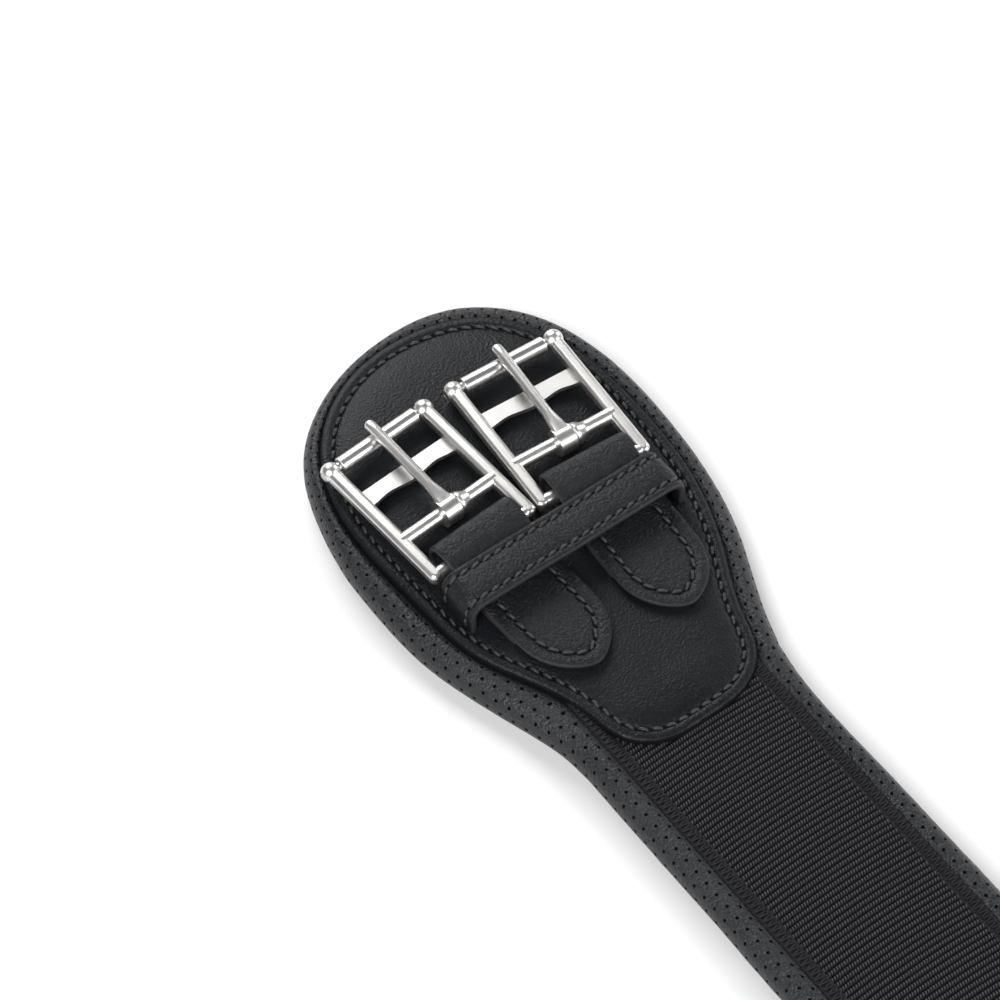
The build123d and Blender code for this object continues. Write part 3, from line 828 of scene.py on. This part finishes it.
# ---------------------------------------------------------------- keepers
KEEPER_SECTION = [
    # across the band, out from its middle surface: over the outside, then back along the inside
    (-6.5, -0.35), (-6.5, 0.35), (-6.3, 0.8), (-5.8, 1.05), (-5.2, 1.08), (-4.75, 0.86), (-4.3, 0.55),
    (-3.85, 0.88), (-3.1, 1.14), (-1.5, 1.22), (0.0, 1.24), (1.5, 1.22), (3.1, 1.14), (3.85, 0.88),
    (4.3, 0.55), (4.75, 0.86), (5.2, 1.08), (5.8, 1.05), (6.3, 0.8), (6.5, 0.35), (6.5, -0.35),
    (6.2, -0.9), (5.6, -1.05), (0.0, -1.05), (-5.6, -1.05), (-6.2, -0.9),
]
KEEPER_EDGE_POINTS = (0, 1, 19, 20, 21, 25)
KEEPER_SEWN_FROM = 11.9           # height of the lowest stitches


def keeper_line():
    """Points across the girth and height of the keeper's middle surface, and its outward directions."""
    straight = np.linspace(10.2, KEEPER_CROWN - KEEPER_BEND, 8)
    points = [(-KEEPER_FOOT, z) for z in straight]
    normals = [(-1.0, 0.0)] * len(points)
    centre = KEEPER_FOOT - KEEPER_BEND
    for turn in np.linspace(0, math.pi / 2, 10)[1:]:
        points.append((-centre - KEEPER_BEND * math.cos(turn),
                       KEEPER_CROWN - KEEPER_BEND * (1 - math.sin(turn))))
        normals.append((-math.cos(turn), math.sin(turn)))
    for y in np.linspace(-centre, 0, 24)[1:]:
        points.append((y, KEEPER_CROWN - 0.3 * math.exp(-(y / 6.0) ** 2)))
        normals.append((0.0, 1.0))
    mirrored = [(-y, z) for y, z in points[-2::-1]]
    turned = [(-a, b) for a, b in normals[-2::-1]]
    return np.array(points + mirrored), np.array(normals + turned)


def make_keeper(name, end):
    line, normals = keeper_line()
    count = len(KEEPER_SECTION)
    points = []
    for (y, z), (a, b) in zip(line, normals):
        for u, h in KEEPER_SECTION:
            points.append((KEEPER_OUT + u, y + a * h, z + b * h))
    faces = grid_faces(len(line), count)
    marks = [1 if c in KEEPER_EDGE_POINTS else 0 for _ in range(len(line) - 1) for c in range(count)]
    piece(f"keeper_band_{name}", placed(end, points), facing(-end, faces), [strap_leather, edge_leather],
          "girth", (f"keeper_{name}",), marks)
    runs = []
    inside = line[:, 1] > KEEPER_SEWN_FROM
    for row in (-KEEPER_ROW, KEEPER_ROW):
        local = np.stack([np.full(len(line), KEEPER_OUT + row), line[:, 0] + normals[:, 0] * 0.75,
                          line[:, 1] + normals[:, 1] * 0.75], 1)[inside]
        ups = np.stack([np.zeros(len(line)), normals[:, 0], normals[:, 1]], 1)[inside]
        runs += stitches_along(placed(end, local), ups, gap=0.7)
    stitch_mesh(f"keeper_stitches_{name}", runs, 0.95, 0.8, "girth", (f"keeper_thread_{name}",),
                lean=0.5, hole=STRAP_AWL_HOLE)


# ---------------------------------------------------------------- chapes
STRAP = 1.5                       # leather thickness
TAB_LENGTH = TAB_TIP - TAB_SHOULDER
ARCH_RADIUS = (TAB_LENGTH ** 2 + CHAPE_HALF ** 2) / (2 * CHAPE_HALF)
CHAPE_RINGS = [
    # inset, height over the middle surface where sewn, and elsewhere
    (0.0, 0.0, 0.0), (0.04, 0.32, 0.3), (0.22, 0.62, 0.56), (0.6, 0.84, 0.7), (1.3, 0.96, 0.76),
    (2.2, 0.92, 0.78), (3.0, 0.68, 0.78), (3.55, 0.42, 0.78), (4.0, 0.26, 0.78), (4.45, 0.42, 0.78),
    (5.1, 0.66, 0.78), (6.0, 0.76, 0.78),
]
CHAPE_UNDER = [(0.0, 0.0), (0.04, -0.32), (0.22, -0.6), (0.6, -0.74), (3.0, -0.75)]
CHAPE_STITCH_INSET = 4.0
SEWN_TO = 31.0                    # from the tab's tip


def chape_line():
    """The strap's middle surface from the tab's tip, over the loop, to its hidden end: the length so far, the
    points and the outward directions."""
    tab_height = TAB_TOP - BAR_HEIGHT - STRAP / 2
    radius = CHAPE_LOOP - STRAP / 2
    crest = (radius * math.sin(CHAPE_SLOPE), radius * math.cos(CHAPE_SLOPE))
    foot = crest[0] + (crest[1] - tab_height) / math.tan(CHAPE_SLOPE)
    points = [(x, tab_height) for x in np.arange(TAB_TIP, foot + 4, -0.7)]
    for share in np.linspace(0, 1, 14):
        a, b = np.array([foot + 3.5, tab_height]), np.array([foot, tab_height])
        c = np.array([foot - 3.3, tab_height + 3.3 * math.tan(CHAPE_SLOPE)])
        points.append(tuple((1 - share) ** 2 * a + 2 * share * (1 - share) * b + share ** 2 * c))
    start = points[-1]
    for share in np.linspace(0, 1, 12)[1:]:
        points.append((start[0] + (crest[0] - start[0]) * share, start[1] + (crest[1] - start[1]) * share))
    for turn in np.linspace(CHAPE_SLOPE, 0, 6)[1:]:
        points.append((radius * math.sin(turn), radius * math.cos(turn)))
    for x in np.linspace(0, -CHAPE_SLACK, 6)[1:]:
        points.append((x, radius))
    for turn in np.linspace(0, math.pi, 22)[1:]:
        points.append((-CHAPE_SLACK - radius * math.sin(turn), radius * math.cos(turn)))
    for x in np.linspace(-CHAPE_SLACK, 27.0, 26)[1:]:
        points.append((x, -radius))
    points = np.array(points)
    ahead = np.gradient(points, axis=0)
    ahead /= np.linalg.norm(ahead, axis=1)[:, None]
    along = np.concatenate([[0], np.cumsum(np.linalg.norm(np.diff(points, axis=0), axis=1))])
    return along, points, np.stack([ahead[:, 1], -ahead[:, 0]], 1)


def tab_ring(inset, length):
    """The strap's outline laid flat, moved inward: from its hidden end round the tab's tip and back."""
    half = CHAPE_HALF - inset
    radius = ARCH_RADIUS - inset
    centre = CHAPE_HALF - ARCH_RADIUS
    reach = math.acos(-centre / radius)
    side = [(s, half) for s in np.linspace(length, TAB_LENGTH, 110)]
    arch = []
    for turn in np.linspace(0, reach, 26)[1:]:
        arch.append((TAB_LENGTH - radius * math.sin(turn), centre + radius * math.cos(turn)))
    one = np.array(side + arch)
    ring = np.vstack([one * (1, -1), one[-2::-1]])
    for _ in range(6):
        middle = ring[100:-100]
        smooth = (np.roll(middle, 1, 0) + 2 * middle + np.roll(middle, -1, 0)) / 4
        ring[101:-101] = smooth[1:-1]
    return ring


def make_chape(name, end, side):
    along, line, normals = chape_line()
    length = along[-1]
    ahead = np.array([-end * math.cos(SPLAY), -side * math.sin(SPLAY), 0.0])
    across = np.array([-ahead[1], ahead[0], 0.0])
    origin = np.array([end * (HALF_SIZE + BAR_OUT), side * BAR_OFFSET + CHAPE_SHIFT, BAR_HEIGHT])
    crease = waves(23 + end + 3 * side, 3.5, 9.0, 80.0)

    def bent(flat, heights):
        s = flat[:, 0]
        x = np.interp(s, along, line[:, 0]) + np.interp(s, along, normals[:, 0]) * heights
        z = np.interp(s, along, line[:, 1]) + np.interp(s, along, normals[:, 1]) * heights
        return origin + x[:, None] * ahead + flat[:, 1:2] * across + z[:, None] * np.array([0, 0, 1.0])

    def sewn(s):
        return np.clip((SEWN_TO + 1.5 - s) / 3.0, 0, 1)

    rows = []
    for inset, height, plain in CHAPE_RINGS:
        ring = tab_ring(inset, length)
        heights = plain + (height - plain) * sewn(ring[:, 0])
        rows.append((ring, heights))
    last, heights = rows[-1]
    for share in (0.25, 0.5, 0.75, 1.0):
        spine = np.stack([np.maximum(last[:, 0], 10.0), np.zeros(len(last))], 1)
        rows.append((last + (spine - last) * share, heights + 0.04 * share))
    top = []
    for ring, heights in rows:
        fold = np.exp(-((ring[:, 0] - 42.0) / 9.0) ** 2)
        heights = heights + 0.07 * fold * crease(ring[:, 1] * 2.0 + ring[:, 0] * 0.5) * (heights > 0.3)
        top.append(bent(ring, heights))
    under = []
    for inset, height in CHAPE_UNDER:
        ring = tab_ring(inset, length)
        under.append(bent(ring, np.full(len(ring), height)))
    ring = tab_ring(CHAPE_UNDER[-1][0], length)
    flat = np.stack([np.maximum(ring[:, 0], 10.0), np.zeros(len(ring))], 1)
    under.append(bent(flat, np.full(len(ring), -0.75)))
    columns = len(top[0])
    faces = grid_faces(len(top), columns, wrap=False)
    marks = [1 if r < 2 else 0 for r in range(len(top) - 1) for _ in range(columns - 1)]
    start = len(top) * columns
    below = grid_faces(len(under), columns, wrap=False, start=start)
    faces += [tuple(reversed(face)) for face in below]
    marks += [1 if r < 2 else 0 for r in range(len(under) - 1) for _ in range(columns - 1)]
    made = piece(f"chape_strap_{name}", np.vstack(top + under), faces, [strap_leather, edge_leather], "girth",
                 (f"chape_{name}",), marks)
    merge(made)

    ring = tab_ring(CHAPE_STITCH_INSET, length)
    ring = ring[ring[:, 0] < SEWN_TO]
    points = bent(ring, np.full(len(ring), 0.48))
    ups = np.tile([0.0, 0.0, 1.0], (len(points), 1))
    runs = stitches_along(points, ups, gap=0.7)
    stitch_mesh(f"chape_stitches_{name}", runs, 0.95, 0.8, "girth", (f"chape_thread_{name}",),
                lean=0.5, hole=STRAP_AWL_HOLE)

    half = CHAPE_HALF - 0.7
    # what fills the chape between its two layers, behind the loop
    profile = np.array([(2.6, -2.7), (2.9, 1.9), (5.5, 1.6), (15.0, -2.4), (16.5, -3.0)])
    wedge = []
    for y in (-half, -half + 0.4, half - 0.4, half):
        size = 1.0 if abs(y) < half else 0.86
        middle = profile.mean(0)
        for x, z in middle + (profile - middle) * size:
            wedge.append(origin + x * ahead + y * across + z * np.array([0, 0, 1.0]))
    faces = [tuple(reversed(f)) for f in grid_faces(4, len(profile))]
    faces += [tuple(range(len(profile))), tuple(reversed(range(3 * len(profile), 4 * len(profile))))]
    piece(f"chape_filler_{name}", wedge, faces, [edge_leather], "girth")


# ---------------------------------------------------------------- buckles
def finish_buckles():
    """The buckles' own CAD parts, in steel."""
    bar_steel = steel("satin_steel", (0.68, 0.67, 0.65), 0.34, 0.35, 0)
    cross_steel = steel("turned_steel", (0.64, 0.63, 0.62), 0.31, 0.12, 1)
    pin_steel = steel("pin_steel", (0.5, 0.5, 0.5), 0.34, 0.2, 1)
    finish = {"buckle_frame": bar_steel, "tongue": bar_steel, "roller_pin": pin_steel, "roller": cross_steel}
    for name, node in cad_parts.items():
        for start, material in finish.items():
            if name.startswith(start):
                for place in node.material_slots:
                    place.material = material
                break


# ---------------------------------------------------------------- stage
AZIMUTH = math.radians(53.4)
ELEVATION = math.radians(55.3)
CAMERA_DISTANCE = 1.25
LENS = 174.4
FLOOR_HALF = 6.0
FLOOR_BELOW = 0.0002              # so that the floor and the underside don't share a plane


def make_stage():
    target = Vector((-(HALF_SIZE + 3.5) / 1000, 0.0007, 0.0))
    back = Vector((math.sin(AZIMUTH) * math.cos(ELEVATION), -math.cos(AZIMUTH) * math.cos(ELEVATION),
                   math.sin(ELEVATION)))
    camera = bpy.data.objects.new("camera", bpy.data.cameras.new("camera"))
    camera.data.lens = LENS
    camera.location = target + back * CAMERA_DISTANCE
    camera.rotation_euler = (-back).to_track_quat("-Z", "Y").to_euler()
    bpy.context.scene.collection.objects.link(camera)
    bpy.context.scene.camera = camera

    corners = [(x * FLOOR_HALF, y * FLOOR_HALF, 0) for x, y in ((-1, -1), (1, -1), (1, 1), (-1, 1))]
    mesh = bpy.data.meshes.new("floor")
    mesh.from_pydata(corners, [], [(0, 1, 2, 3)])
    nodes = Nodes("floor")
    nodes.set(Base_Color=(0.86, 0.86, 0.86, 1), Roughness=0.9, Specular_IOR_Level=0.1)
    mesh.materials.append(nodes.material)
    floor = bpy.data.objects.new("floor", mesh)
    floor.location.z = -FLOOR_BELOW
    bpy.context.scene.collection.objects.link(floor)

    mirrored = Vector((-back.x, -back.y, back.z))           # where a flat surface reflects the camera's view
    up_left = Vector((-0.99, -0.15, 0.0))
    lights = [
        # name, place from the target in metres, width, power
        ("key", mirrored * 0.55 + up_left * 0.36, 0.54, 4.6),
        ("camera_side", Vector((0.6, -1.1, 1.2)), 1.1, 30.0),
        ("right", Vector((1.3, 0.9, 0.9)), 0.8, 16.0),
        ("back", Vector((-0.2, 1.5, 0.8)), 0.7, 8.0),
    ]
    for name, way, across, power in lights:
        lamp = bpy.data.lights.new(name, "AREA")
        lamp.shape = "DISK"
        lamp.size = across
        lamp.energy = power
        light = bpy.data.objects.new(name, lamp)
        light.location = target + way
        light.rotation_euler = way.to_track_quat("Z", "Y").to_euler()
        bpy.context.scene.collection.objects.link(light)
    bpy.context.scene.view_settings.view_transform = "Standard"
    world = bpy.context.scene.world or bpy.data.worlds.new("world")
    bpy.context.scene.world = world
    world.use_nodes = True
    background = world.node_tree.nodes["Background"]
    background.inputs["Color"].default_value = (0.96, 0.97, 1.0, 1)
    background.inputs["Strength"].default_value = 0.13


# ---------------------------------------------------------------- the girth
make_stage()
the_pad = make_pad()
make_lining(the_pad)
make_webbing()
patch_rows = patch_lattice()
for end_name, end_sign in ENDS.items():
    make_patch(end_name, end_sign, patch_rows)
    make_keeper(end_name, end_sign)
    for side_name, side_sign in SIDES.items():
        make_chape(f"{end_name}_{side_name}", end_sign, side_sign)
finish_buckles()
